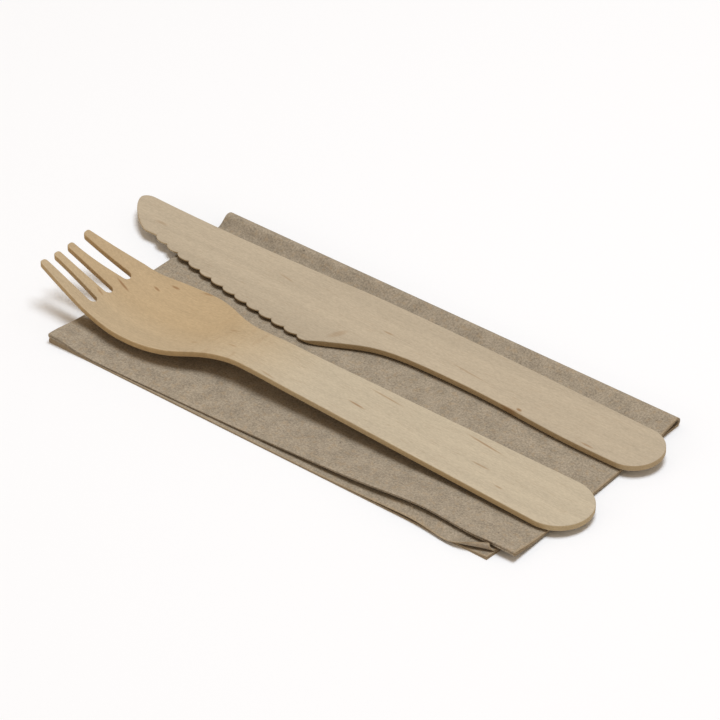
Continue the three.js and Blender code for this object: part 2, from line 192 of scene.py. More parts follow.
# The photograph's view
VIEW_AZIMUTH = math.radians(38.48)
VIEW_ELEVATION = math.radians(35.32)
VIEW_TARGET = Vector((0.70, 7.95, 0)) * MM
VIEW_DISTANCE = 1.06834
VIEW_FOCAL_SHARE = 4554.75 / 720
SENSOR_WIDTH = 36
FAR_CLIP = 20

# Studio: places and sides of the lights in metres, and colours
KEY_PLACE = (0.16, 0.14, 1.6)
KEY_SIDES = (0.7, 0.7)
KEY_COLOUR = (0.94, 1.02, 1.12)
FRONT_PLACE = (-0.5, -1.4, 0.4)
FRONT_SIDES = (1.4, 0.5)
FRONT_COLOUR = (1, 0.97, 0.92)
FILL_COLOUR = (1, 0.83, 0.66, 1)
FLOOR_COLOUR = (0.9, 0.9, 0.9, 1)


def smoothstep(value, low, high):
    """0 below low, 1 above high, and 3t^2 - 2t^3 between."""
    t = np.clip((value - low) / (high - low), 0, 1)
    return t * t * (3 - 2 * t)


def bump(distance, reach):
    """A bump of height 1 that dies away over a reach: exp(-(distance / reach)^2)."""
    return np.exp(-((distance / reach) ** 2))


def through_keys(keys, place):
    """A smooth curve of heights through (place, height) keys: a cubic between each two, whose slope at
    a key is that of the line through its two neighbours."""
    at, height = keys[:, 0], keys[:, 1]
    before = np.maximum(np.arange(len(at)) - 1, 0)
    after = np.minimum(np.arange(len(at)) + 1, len(at) - 1)
    slope = (height[after] - height[before]) / (at[after] - at[before])
    i = np.clip(np.searchsorted(at, place, side="right") - 1, 0, len(at) - 2)
    span = at[i + 1] - at[i]
    t = np.clip((place - at[i]) / span, 0, 1)
    rise = (3 - 2 * t) * t * t
    lead = t * (1 - t) ** 2 * span * slope[i]
    trail = t * t * (t - 1) * span * slope[i + 1]
    return height[i] + (height[i + 1] - height[i]) * rise + lead + trail


def grid_lines(start, *stretches):
    """Even grid lines over stretches given as (end, largest step)."""
    lines = [np.array([start])]
    for end, step in stretches:
        count = max(1, math.ceil(abs(end - lines[-1][-1]) / step))
        lines.append(np.linspace(lines[-1][-1], end, count + 1)[1:])
    return np.concatenate(lines)


def bezier(*corners, count=200):
    """Points along a cubic curve with four corners, as an array of (x, y)."""
    t = np.linspace(0, 1, count)[:, None]
    a, b, c, d = (np.array(corner) for corner in corners)
    return a * (1 - t) ** 3 + 3 * b * t * (1 - t) ** 2 + 3 * c * t * t * (1 - t) + d * t ** 3


def quads_of(rows, columns):
    """The four corners of each cell of a grid whose points are numbered row by row."""
    number = np.arange(rows * columns).reshape(rows, columns)
    corners = [number[:-1, :-1], number[:-1, 1:], number[1:, 1:], number[1:, :-1]]
    return np.stack(corners, -1).reshape(-1, 4)


def turned(points, angle, first):
    """Points turned in the plane of two neighbouring axes, of which the first is given: (u, v) becomes
    (u cos a - v sin a, u sin a + v cos a)."""
    points = points.copy()
    u, v = points[:, first:first + 2].T.copy()
    points[:, first] = u * math.cos(angle) - v * math.sin(angle)
    points[:, first + 1] = u * math.sin(angle) + v * math.cos(angle)
    return points


def make_piece(name, points, quads, node, material, flat=None):
    """Puts points and four-sided faces into a mesh, sets it down in the place of a solid, by their left,
    far and lowest sides, welds what coincides and lets the piece stand for that solid. A sheet's flat
    places go into the attribute flat, and its nearness to the paper's edge into the attribute rim."""
    low, high = np.array(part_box(node))
    shift = low - points.min(axis=0)
    shift[1] = high[1] - points[:, 1].max()
    points = points + shift
    mesh = bpy.data.meshes.new(name)
    mesh.vertices.add(len(points))
    mesh.vertices.foreach_set("co", points.ravel())
    mesh.loops.add(quads.size)
    mesh.loops.foreach_set("vertex_index", quads.ravel())
    mesh.polygons.add(len(quads))
    mesh.polygons.foreach_set("loop_start", np.arange(0, quads.size, 4))
    mesh.polygons.foreach_set("loop_total", np.full(len(quads), 4))
    mesh.update(calc_edges=True)
    if flat is not None:
        layer = mesh.attributes.new("flat", "FLOAT_VECTOR", "POINT")
        layer.data.foreach_set("vector", flat.ravel())
        side = np.minimum(flat - flat.min(axis=0), flat.max(axis=0) - flat)[:, :2].min(axis=1)
        layer = mesh.attributes.new("rim", "FLOAT", "POINT")
        layer.data.foreach_set("value", 1 - smoothstep(side, 0, RIM_REACH))
    piece = bpy.data.objects.new(name, mesh)
    bpy.context.scene.collection.objects.link(piece)
    weld(mesh)
    mesh.polygons.foreach_set("use_smooth", np.ones(len(mesh.polygons), dtype=bool))
    mesh.set_sharp_from_angle(angle=SHARP_ANGLE)
    mesh.materials.append(material)
    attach(piece, "root")
    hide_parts(node)
    return piece


def weld(mesh):
    """Merges points that lie on each other, as at the ends where a grid closes to a point."""
    work = bmesh.new()
    work.from_mesh(mesh)
    bmesh.ops.remove_doubles(work, verts=work.verts, dist=WELD_DISTANCE)
    work.to_mesh(mesh)
    work.free()
    mesh.update()


class Wire:
    """A shader socket that arithmetic works on: an expression on wires adds its Math nodes."""

    def __init__(self, tree, socket=None):
        self.tree = tree
        self.socket = socket

    def node(self, kind, settings=None, inputs=None, output=0):
        """Adds a node: its settings are set first, then the values or wires of its sockets."""
        made = self.tree.nodes.new(kind)
        for key, value in (settings or {}).items():
            setattr(made, key, value)
        for key, value in (inputs or {}).items():
            if isinstance(value, Wire):
                self.tree.links.new(value.socket, made.inputs[key])
            else:
                made.inputs[key].default_value = value
        return Wire(self.tree, made.outputs[output])

    def math(self, operation, *values):
        """Adds a Math node on numbers or wires."""
        return self.node("ShaderNodeMath", {"operation": operation}, dict(enumerate(values)))

    def __add__(self, other):
        return self.math("ADD", self, other)

    def __sub__(self, other):
        return self.math("SUBTRACT", self, other)

    def __rsub__(self, other):
        return self.math("SUBTRACT", other, self)

    def __mul__(self, other):
        return self.math("MULTIPLY", self, other)

    __radd__ = __add__
    __rmul__ = __mul__

    def ramp(self, low, high, start=0.0, end=1.0):
        """Takes low..high smoothly to start..end and holds the ends."""
        return self.node("ShaderNodeMapRange", {"interpolation_type": "SMOOTHSTEP"},
                         {0: self, 1: low, 2: high, 3: start, 4: end})

    def mix(self, colour, other):
        """Mixes two colours, with this wire as the share of the other one."""
        return self.node("ShaderNodeMix", {"data_type": "RGBA"}, {0: self, 6: colour, 7: other}, 2)

    def stretched(self, scale, offset=(0, 0, 0)):
        """Scales and then shifts a place."""
        moved = self.node("ShaderNodeVectorMath", {"operation": "MULTIPLY"}, {0: self, 1: scale})
        return self.node("ShaderNodeVectorMath", {"operation": "ADD"}, {0: moved, 1: offset})

    def noise(self, scale, detail=2.0, roughness=0.5, distortion=0.0):
        """A cloudy value of mean 0.5 at this place."""
        return self.node("ShaderNodeTexNoise", {},
                         {"Vector": self, "Scale": scale, "Detail": detail, "Roughness": roughness,
                          "Distortion": distortion})

    def cells(self, scale):
        """The distance from this place to the nearest of scattered points."""
        return self.node("ShaderNodeTexVoronoi", {}, {"Vector": self, "Scale": scale})


def linear(red, green, blue):
    """A colour given in 0..255 as seen on a screen, as the shader's linear colour: v / 12.92 near black
    and ((v + 0.055) / 1.055)^2.4 above."""
    def one(value):
        value /= 255
        return value / 12.92 if value <= 0.04045 else ((value + 0.055) / 1.055) ** 2.4
    return (one(red), one(green), one(blue), 1.0)


def new_material(name, roughness, specular):
    """A named material with an empty shader, and a wire to start its nodes from."""
    material = bpy.data.materials.new(name)
    material.use_nodes = True
    tree = material.node_tree
    shader = tree.nodes["Principled BSDF"]
    shader.inputs["Roughness"].default_value = roughness
    shader.inputs["Specular IOR Level"].default_value = specular
    return material, shader, Wire(tree)


def finish_material(shader, start, colour, roughness, height, strength):
    """Joins colour, roughness and height to the shader."""
    tree = start.tree
    tree.links.new(colour.socket, shader.inputs["Base Color"])
    if roughness is not None:
        tree.links.new(roughness.socket, shader.inputs["Roughness"])
    bumped = start.node("ShaderNodeBump", {},
                        {"Height": height, "Strength": strength, "Distance": RELIEF})
    tree.links.new(bumped.socket, shader.inputs["Normal"])


def tissue_material(name, colour):
    """Unbleached crepe tissue: speckled pulp, faint clouds, pale and dark fibres, a few dark specks, tan
    patches, a paler tan rim of painted light through the thin edges, and fine crimps."""
    material, shader, start = new_material(name, roughness=0.95, specular=0.1)
    flat = start.node("ShaderNodeAttribute", {"attribute_name": "flat"}, {}, "Vector")
    pulp = flat.noise(1900, 3, 0.85).ramp(0.3, 0.7)
    cloud = flat.noise(240, 2, 0.5).ramp(0.3, 0.7)
    fibres = flat.stretched((1, 0.3, 1)).noise(1700, 1, 0.6, 1.5).ramp(0.58, 0.72)
    hairs = flat.stretched((0.25, 1, 1), (0.3, 0.1, 0)).noise(1500, 1, 0.6, 1.5).ramp(0.6, 0.75)
    specks = 1 - flat.cells(480).ramp(0.06, 0.15)
    few = flat.noise(420, 0).ramp(0.6, 0.64)
    dark = shaded(colour, 0.62)
    pale = shaded(colour, 1.39)
    brown = shaded(colour, 0.42)
    shade = (pulp * 0.75 + cloud * 0.25).mix(pale, dark)
    shade = (fibres * 0.3).mix(shade, pale)
    shade = (hairs * 0.3).mix(shade, dark)
    shade = (specks * few * 0.8).mix(shade, brown)
    shade = (flat.noise(650, 2, 0.6).ramp(0.5, 0.7) * 0.3).mix(shade, linear(*PULP_TAN))
    # Painted light along the paper's edges, standing in for light shining through the thin plies
    rim = start.node("ShaderNodeAttribute", {"attribute_name": "rim"}, {}, "Fac")
    shade = (rim * 0.5).mix(shade, linear(*EDGE_LIGHT_TAN))
    crimp = flat.stretched((1, 0.3, 1)).noise(2400, 2, 0.5)
    finish_material(shader, start, shade, None, crimp * 0.5 + pulp * 0.5, 0.5)
    return material


def shaded(colour, share):
    """A colour made darker or paler, with its alpha."""
    return tuple(min(c * share, 1) for c in colour) + (1.0,)


def birch_material(name, face, browned, browning, marks):
    """Birch veneer: a fine long grain, faint broad bands, short brown flecks, marks at given places and
    browner cut edges. The press browns it towards one end and creases it where the browning fades. Across
    the head the browning is painted stronger on the far side, as painted shade of the bowl's hollow."""
    material, shader, start = new_material(name, roughness=0.62, specular=0.2)
    place = start.node("ShaderNodeTexCoord", {}, {}, "Object")
    normal = start.node("ShaderNodeTexCoord", {}, {}, "Normal")
    along = start.node("ShaderNodeSeparateXYZ", {}, {0: place}, 0)
    across = start.node("ShaderNodeSeparateXYZ", {}, {0: place}, 1)
    facing = start.node("ShaderNodeSeparateXYZ", {}, {0: normal}, 2)
    bands = place.stretched((0.07, 1, 1)).noise(210, 2, 0.5, 0.6).ramp(0.3, 0.7)
    grain = place.stretched((0.08, 1, 1)).noise(3600, 2, 0.7).ramp(0.25, 0.75)
    mottle = place.stretched((0.45, 1, 1)).noise(2600, 2, 0.7).ramp(0.25, 0.75)
    pores = place.stretched((0.07, 1, 1)).noise(3900, 1, 0.5).ramp(0.6, 0.76)
    flecks = 1 - place.stretched((0.22, 1.0, 1)).cells(150).ramp(0.03, 0.11)
    chosen = place.stretched((1, 1, 1), (0.2, 0, 0)).noise(80, 0).ramp(0.54, 0.6)
    browned_to, plain_from = browning
    pressed = along.ramp(browned_to, plain_from, 1.0, 0.0)
    # Real browning from the press along the piece, times painted shade that darkens the far side of the
    # head
    heat_and_shade = along.ramp(browned_to, plain_from + NECK_FADE, 1.0, 0.0) * across.ramp(*HEAD_SHADE_SIDES, 0.7, 1.1)
    plain = heat_and_shade.mix(shaded(face, 1.08), shaded(browned, 1.08))
    deep = heat_and_shade.mix(shaded(face, 0.74), shaded(browned, 0.74))
    warm = linear(*MARK_BROWN)
    shade = (bands * 0.25 + grain * 0.28 + mottle * 0.4).mix(plain, deep)
    shade = (pores * 0.18).mix(shade, warm)
    shade = (flecks * chosen * 0.5).mix(shade, warm)
    creases = place.stretched((1, 0.3, 1)).noise(620, 2, 0.6, 0.8).ramp(0.5, 0.7)
    creases = creases * pressed * (1 - pressed)
    shade = (creases * 0.8).mix(shade, warm)
    for *spindle, depth in marks:
        shade = (grain_mark(place, *spindle) * depth).mix(shade, warm)
    cut = facing.math("ABSOLUTE", facing).ramp(0.3, 0.75, 1.0, 0.0)
    edge = start.node("ShaderNodeMix", {"data_type": "RGBA", "blend_type": "MULTIPLY"},
                      {0: cut, 6: shade, 7: CUT_EDGE_TINT}, 2)
    height = grain * 0.25 + pores * 0.25 - creases * 2
    finish_material(shader, start, edge, grain.ramp(0, 1, 0.56, 0.68), height, 0.3)
    return material


def grain_mark(place, x, y, length, width, angle):
    """A spindle-shaped mark of the grain: 1 in its middle and 0 where (u / a)^2 + (v / b)^2 = 1."""
    moved = place.stretched((1, 1, 0), (-x * MM, -y * MM, 0))
    aligned = place.node("ShaderNodeVectorRotate", {"rotation_type": "Z_AXIS"},
                         {"Vector": moved, "Angle": -math.radians(angle)})
    scaled = aligned.stretched((2 / (length * MM), 2 / (width * MM), 0))
    radius = place.node("ShaderNodeVectorMath", {"operation": "LENGTH"}, {0: scaled}, "Value")
    return radius.ramp(0.3, 1, 1, 0)


class NapkinSettings(bpy.types.PropertyGroup):
    sheet_length: bpy.props.FloatProperty(
        name="Sheet length", description="Length of the open sheet, along the pack", default=268.5 * MM,
        unit="LENGTH")
    sheet_width: bpy.props.FloatProperty(
        name="Sheet width", description="Width of the open sheet, across the pack", default=269.6 * MM,
        unit="LENGTH")
    paper: bpy.props.FloatProperty(
        name="Paper", description="Thickness of one ply", default=0.12 * MM, unit="LENGTH", precision=5)
    layer_gap: bpy.props.FloatProperty(
        name="Layer gap", description="Air between two pressed plies", default=0.04 * MM, unit="LENGTH",
        precision=5)
    turn: bpy.props.FloatProperty(
        name="Turn", description="How far the napkin lies askew", default=math.radians(-1.1),
        unit="ROTATION")
    pinched_radius: bpy.props.FloatProperty(
        name="Pinched radius", description="Radius of the spine at its closed end", default=1.55 * MM,
        unit="LENGTH", precision=5)
    open_radius: bpy.props.FloatProperty(
        name="Open radius", description="Radius of the spine at its open end", default=1.05 * MM,
        unit="LENGTH", precision=5)
    mouth_height: bpy.props.FloatProperty(
        name="Mouth", description="How far the two halves part along the free edge", default=1.1 * MM,
        unit="LENGTH", precision=5)
    curl_radius: bpy.props.FloatProperty(
        name="Curl radius", description="Radius of the rolled corner", default=1.3 * MM, unit="LENGTH",
        precision=5)
    colour: bpy.props.FloatVectorProperty(
        name="Paper colour", description="Mean colour of the tissue", subtype="COLOR", size=3,
        default=linear(155, 142, 123)[:3])


class ForkSettings(bpy.types.PropertyGroup):
    length: bpy.props.FloatProperty(
        name="Length", description="From the tine tips to the handle end", default=154.2 * MM,
        unit="LENGTH")
    veneer: bpy.props.FloatProperty(
        name="Veneer", description="Thickness of the wood", default=1.6 * MM, unit="LENGTH", precision=4)
    head_half_width: bpy.props.FloatProperty(
        name="Head", description="Half width of the head", default=13.2 * MM, unit="LENGTH")
    neck_half_width: bpy.props.FloatProperty(
        name="Neck", description="Half width of the neck", default=6.8 * MM, unit="LENGTH")
    end_radius: bpy.props.FloatProperty(
        name="End radius", description="Radius of the handle end", default=8.9 * MM, unit="LENGTH")
    edge_radius: bpy.props.FloatProperty(
        name="Edge rounding", description="Radius of the eased edges", default=0.3 * MM, unit="LENGTH",
        precision=5)
    turn: bpy.props.FloatProperty(
        name="Turn", description="How far the fork lies askew", default=math.radians(0.4),
        unit="ROTATION")
    colour: bpy.props.FloatVectorProperty(
        name="Wood colour", description="Colour of the handle", subtype="COLOR", size=3,
        default=linear(196, 181, 155)[:3])
    bowl_colour: bpy.props.FloatVectorProperty(
        name="Bowl colour", description="Colour of the pressed head", subtype="COLOR", size=3,
        default=linear(188, 163, 126)[:3])


class KnifeSettings(bpy.types.PropertyGroup):
    length: bpy.props.FloatProperty(
        name="Length", description="From the tip to the handle end", default=161.9 * MM, unit="LENGTH")
    veneer: bpy.props.FloatProperty(
        name="Veneer", description="Thickness of the wood", default=1.6 * MM, unit="LENGTH", precision=4)
    end_radius: bpy.props.FloatProperty(
        name="End radius", description="Radius of the handle end", default=7.4 * MM, unit="LENGTH")
    tooth_count: bpy.props.IntProperty(
        name="Teeth", description="Number of teeth along the edge", default=13, min=3)
    tooth_height: bpy.props.FloatProperty(
        name="Tooth height", description="Depth of the notches", default=0.75 * MM, unit="LENGTH",
        precision=5)
    bevel_width: bpy.props.FloatProperty(
        name="Bevel", description="Width over which the blade thins", default=3.2 * MM, unit="LENGTH",
        precision=4)
    edge_thickness: bpy.props.FloatProperty(
        name="Edge thickness", description="Thickness at the teeth", default=0.55 * MM, unit="LENGTH",
        precision=5)
    edge_radius: bpy.props.FloatProperty(
        name="Edge rounding", description="Radius of the eased edges", default=0.25 * MM, unit="LENGTH",
        precision=5)
    tilt: bpy.props.FloatProperty(
        name="Tilt", description="How far the back stands higher", default=math.radians(3),
        unit="ROTATION")
    colour: bpy.props.FloatVectorProperty(
        name="Wood colour", description="Colour of the wood", subtype="COLOR", size=3,
        default=linear(188, 172, 147)[:3])


def follow(chain, distance):
    """Walks a distance along a chain of arcs, each a (length, curvature), from the origin heading
    forward. The step over an arc is its chord, length * sinc(turn / 2), at half its turn."""
    forward, up, heading = (np.zeros_like(distance) for _ in range(3))
    left = distance
    for length, curvature in chain:
        step = np.minimum(left, length)
        turn = step * curvature
        chord = step * np.sinc(turn / math.tau)
        forward = forward + chord * np.cos(heading + turn / 2)
        up = up + chord * np.sin(heading + turn / 2)
        heading = heading + turn
        left = left - step
    return forward, up, heading


def fold(along, height, line, sense, chain):
    """Bends what lies beyond a line along a chain of arcs: a point stays at its height over the chain,
    measured square to it. Returns the new place along and the new height."""
    beyond = np.maximum((along - line) * sense, 0)
    forward, up, heading = follow(chain, beyond)
    bent = beyond > 0
    new_along = line + sense * (forward - height * np.sin(heading))
    new_height = up + height * np.cos(heading)
    return np.where(bent, new_along, along), np.where(bent, new_height, height)


def sharp_fold(stack, gap):
    """Half a turn whose radius leaves a gap between pressed layers: (radius, length, chain)."""
    radius = (stack + gap) / 2
    return radius, math.pi * radius, [(math.pi * radius, 1 / radius), (np.inf, 0.0)]


def springy_fold(stack, gap, radius, slope):
    """More than half a turn, a straight run down, and a bend to lie flat: the length of the loop, the
    length of it all and its chain. What the bend and the run drop together is what the loop stands
    above the flat stack."""
    drop = radius * (1 + np.cos(slope)) - stack - gap
    bend_radius = np.minimum(SLOPE_RADIUS, BEND_SHARE * drop / (1 - np.cos(slope)))
    run = (drop - bend_radius * (1 - np.cos(slope))) / np.sin(slope)
    loop = radius * (math.pi + slope)
    ease = bend_radius * slope
    chain = [(loop, 1 / radius), (run, 0.0), (ease, -1 / bend_radius), (np.inf, 0.0)]
    return loop, loop + run + ease, chain


class CUTLERY_OT_napkin(bpy.types.Operator):
    """Builds the folded napkin: a flat sheet taken through its three folds"""
    bl_idname = "cutlery.napkin"
    bl_label = "Napkin"

    def execute(self, context):
        size = context.scene.cutlery_napkin
        flat, quads = self.sheet(size)
        points = turned(self.folded(size, flat), size.turn, 0)
        material = tissue_material("Brown tissue", size.colour)
        piece = make_piece("napkin_folded", points, quads, "napkin", material, flat=flat)
        return {"FINISHED"}

    def folds(self, size):
        """The height of four pressed plies, the two sharp folds, and the length and width of the folded
        pack: half of what the creases leave of the sheet."""
        two = 2 * size.paper + size.layer_gap
        four = 2 * two + size.layer_gap
        first = sharp_fold(size.paper, size.layer_gap)
        second = sharp_fold(two, size.layer_gap)
        pack_length = (size.sheet_length - second[1]) / 2
        pack_width = (size.sheet_width - first[1]) / 2
        return four, first, second, pack_length, pack_width

    def spine(self, size, four, share):
        """The springy fold at a share of the way from its pinched to its open end."""
        radius = size.pinched_radius + (size.open_radius - size.pinched_radius) * share
        slope = PINCHED_SLOPE + (OPEN_SLOPE - PINCHED_SLOPE) * share
        return springy_fold(four, HALVES_GAP, radius, slope)

    def sheet(self, size):
        """The flat sheet: two skins on one grid, whose lines crowd where the paper bends, and a rim."""
        four, first, second, pack_length, pack_width = self.folds(size)
        spine_place = pack_width * SPINE_SHARE
        ends = np.array([0.0, 1.0])
        loop, bend, _ = self.spine(size, four, ends)
        loop_end = spine_place + (loop + ends * SPINE_SKEW).max()
        bend_end = spine_place + (bend + ends * SPINE_SKEW).max()
        half = grid_lines(0, (1.5 * CURL_INSET, ROLL_STEP), (CORNER_REACH, BEND_STEP),
                          (spine_place, PLAIN_STEP), (loop_end, ROLL_STEP), (bend_end, BEND_STEP),
                          (pack_width - CORNER_REACH, PLAIN_STEP), (pack_width, SIDE_STEP))
        crease = grid_lines(pack_width, (pack_width + first[1], first[1] / CREASE_STEPS))[1:]
        y = np.concatenate([half, crease, size.sheet_width - half[-2::-1]])
        half = grid_lines(0, (CORNER_REACH, END_STEP), (MOUTH_CENTRE - MOUTH_LENGTH, LONG_STEP),
                          (pack_length - CURL_LENGTH, MOUTH_STEP), (pack_length, CORNER_STEP))
        crease = grid_lines(-second[1], (0, second[1] / CREASE_STEPS))
        x = np.concatenate([-second[1] - half[:0:-1], crease, half[1:]])
        skin = np.stack([*np.meshgrid(x, y), np.zeros((len(y), len(x)))], -1).reshape(-1, 3)
        side = np.array([0, 0, size.paper / 2])
        flat = np.concatenate([skin - side, skin + side])
        top = quads_of(len(y), len(x)) + len(skin)
        bottom = (top - len(skin))[:, ::-1]
        number = np.arange(len(skin)).reshape(len(y), len(x))
        border = np.concatenate([number[0], number[1:, -1], number[-1, -2::-1], number[-2:0:-1, 0]])
        after = np.roll(border, -1)
        rim = np.stack([border, after, after + len(skin), border + len(skin)], -1)
        return flat, np.concatenate([top, bottom, rim])

    def folded(self, size, flat):
        """Gives the free edge its flap and ripple, takes the sheet through the first fold, which runs a
        little askew, the second fold and the spine, then loosens it, raises a ridge beside the lip and
        rolls up the free corner."""
        four, first, second, pack_length, pack_width = self.folds(size)
        spine_place = pack_width * SPINE_SHARE
        x, y, z = flat.T.copy()
        surplus = FLAP_LENGTH * smoothstep(-x, pack_length - FLAP_WIDTH, pack_length)
        ripple = RIPPLE * (np.sin(x / RIPPLE_LENGTH) + np.sin(1 - SLOW_RIPPLE * x / RIPPLE_LENGTH))
        y = y - (surplus + ripple * surplus / FLAP_LENGTH) * np.maximum(1 - y / spine_place, 0)
        curled = (x < 0) & (y < spine_place)
        askew = FIRST_FOLD_SKEW * np.clip(np.abs(x) / pack_length, 0, 1)
        is_back = y > size.sheet_width / 2
        from_edge = np.where(is_back, size.sheet_width - y, y)
        drawn_in = askew * np.clip((from_edge - spine_place) / (pack_width - spine_place), 0, 1)
        y = y - np.where(is_back, 2 * askew - drawn_in, drawn_in)
        y, z = fold(y, z, pack_width - askew, 1, first[2])
        z = z - first[0]
        x, z = fold(x, z, 0, -1, second[2])
        z = z - second[0]
        open_side = np.clip(x / pack_length, 0, 1)
        from_spine = y - spine_place
        x = x + open_side * (OUT_OF_SQUARE * from_spine - OPEN_SIDE_BOW * (from_spine / spine_place) ** 2)
        *_, chain = self.spine(size, four, np.clip(x / pack_length, 0, 1))
        y, z = fold(y, z, spine_place + SPINE_SKEW * open_side, 1, chain)
        z = z + four / 2
        z = self.loosen(size, x, y, z, four, pack_length)
        ridge = bump(x - LIP_CENTRE, LIP_LENGTH) * bump(y - RIDGE_PLACE, RIDGE_PLACE)
        z = z + curled * RIDGE_SHARE * LIP_HEIGHT * ridge
        return self.curl(size, x, y, z, curled, four - size.paper / 2, pack_length)

    def curl(self, size, x, y, z, curled, ply, pack_length):
        """Rolls the free corner of one ply up and over, about a line drawn across the corner: places
        are turned so that this line is an axis, bent along an endless arc and turned back."""
        slant = math.atan2(CURL_INSET + FLAP_LENGTH, CURL_LENGTH)
        start = pack_length - CURL_LENGTH
        along = (x - start) * math.cos(slant) + (y + FLAP_LENGTH) * math.sin(slant)
        across = -(x - start) * math.sin(slant) + (y + FLAP_LENGTH) * math.cos(slant)
        rolled, height = fold(across, z - ply, 0, -1, [(np.inf, 1 / size.curl_radius)])
        new_x = along * math.cos(slant) - rolled * math.sin(slant) + start
        new_y = along * math.sin(slant) + rolled * math.cos(slant) - FLAP_LENGTH
        return np.where(curled, (new_x, new_y, height + ply), (x, y, z)).T

    def loosen(self, size, x, y, z, stack, pack_length):
        """Thickens the pack at its free corners, thins it along the rest of the free edge and parts
        its halves at the mouth and the lip: z (1 + swelling - pressing) + parting."""
        inwards = np.maximum(y, 0)
        corners = np.minimum(bump(x, CORNER_REACH) + bump(x - pack_length, CORNER_REACH), 1)
        over = np.clip((z - stack) / HALVES_GAP, 0, 1)
        parting = size.mouth_height * bump(x - MOUTH_CENTRE, MOUTH_LENGTH) * bump(inwards, MOUTH_DEPTH)
        parting = parting + LIP_HEIGHT * bump(x - LIP_CENTRE, LIP_LENGTH) * bump(inwards, LIP_DEPTH)
        swelling = CORNER_SHARE * corners * bump(inwards, CORNER_REACH)
        before_mouth = 1 - smoothstep(x, MOUTH_CENTRE - MOUTH_LENGTH, MOUTH_CENTRE)
        pressing = PRESSED_SHARE * before_mouth * (1 - corners) * bump(inwards, PRESSED_DEPTH)
        return z * (1 + swelling - pressing) + over * parting


def distance_to(points, outline):
    """Distance from each point to a closed outline: the least distance to any of its segments."""
    start = outline
    along = np.roll(outline, -1, axis=0) - start
    length = np.maximum((along ** 2).sum(1), TOUCHING ** 2)
    found = np.full(len(points), np.inf)
    for first in range(0, len(points), SEGMENT_BATCH):
        part = points[first:first + SEGMENT_BATCH, None, :] - start[None]
        t = np.clip((part * along).sum(-1) / length, 0, 1)
        gap = part - t[..., None] * along
        found[first:first + SEGMENT_BATCH] = np.sqrt((gap ** 2).sum(-1).min(axis=1))
    return found


def board_lines(low, high, count, reach):
    """Places across a board from its low to its high side: close together within a reach of each
    side, and even between."""
    reach = np.minimum(reach, (high - low) * REACH_SHARE)[:, None]
    middle = np.linspace(0, 1, count)[None, 1:-1]
    low, high = low[:, None], high[:, None]
    inner = (low + reach) + (high - low - 2 * reach) * middle
    return np.concatenate([low + reach * EDGE_LINES, inner, high - reach * EDGE_LINES[::-1]], axis=1)


def board(lanes, outline, radius, underside, thickness):
    """A board of one thickness rule: lanes of grid points seen from above, lowered near the outline by
    r - sqrt(r^2 - (r - d)^2) at distance d, the same from below, and upright walls where a lane is open.
    Each lane is (x, y, low side open, high side open), with a row of points for each station."""
    points, quads, count = [], [], 0
    for x, y, low_open, high_open in lanes:
        rows, columns = y.shape
        flat = np.stack([np.repeat(x, columns), y.ravel()], -1)
        distance = distance_to(flat, outline).reshape(rows, columns)
        distance[low_open, 0] = 0
        distance[high_open, -1] = 0
        distance[0] = 0
        distance = distance.ravel()
        bottom = underside(flat)
        full = thickness(flat)
        round_off = np.minimum(radius, EASED_SHARE * full)
        inside = np.clip(round_off - distance, 0, round_off)
        drop = round_off - np.sqrt(np.maximum(round_off ** 2 - inside ** 2, 0))
        size = rows * columns
        points += [np.column_stack([flat, bottom + drop]), np.column_stack([flat, bottom + full - drop])]
        cells = quads_of(rows, columns)
        number = np.arange(size).reshape(rows, columns)
        edges = [np.stack([number[0, 1:], number[0, :-1]], -1)]
        low_cell = low_open[:-1] & low_open[1:]
        high_cell = high_open[:-1] & high_open[1:]
        edges.append(np.stack([number[:-1, 0], number[1:, 0]], -1)[low_cell])
        edges.append(np.stack([number[1:, -1], number[:-1, -1]], -1)[high_cell])
        a, b = np.concatenate(edges).T
        walls = np.stack([a, b, b + size, a + size], -1)
        quads.append(np.concatenate([cells, cells[:, ::-1] + size, walls]) + count)
        count += 2 * size
    return np.concatenate(points), np.concatenate(quads)


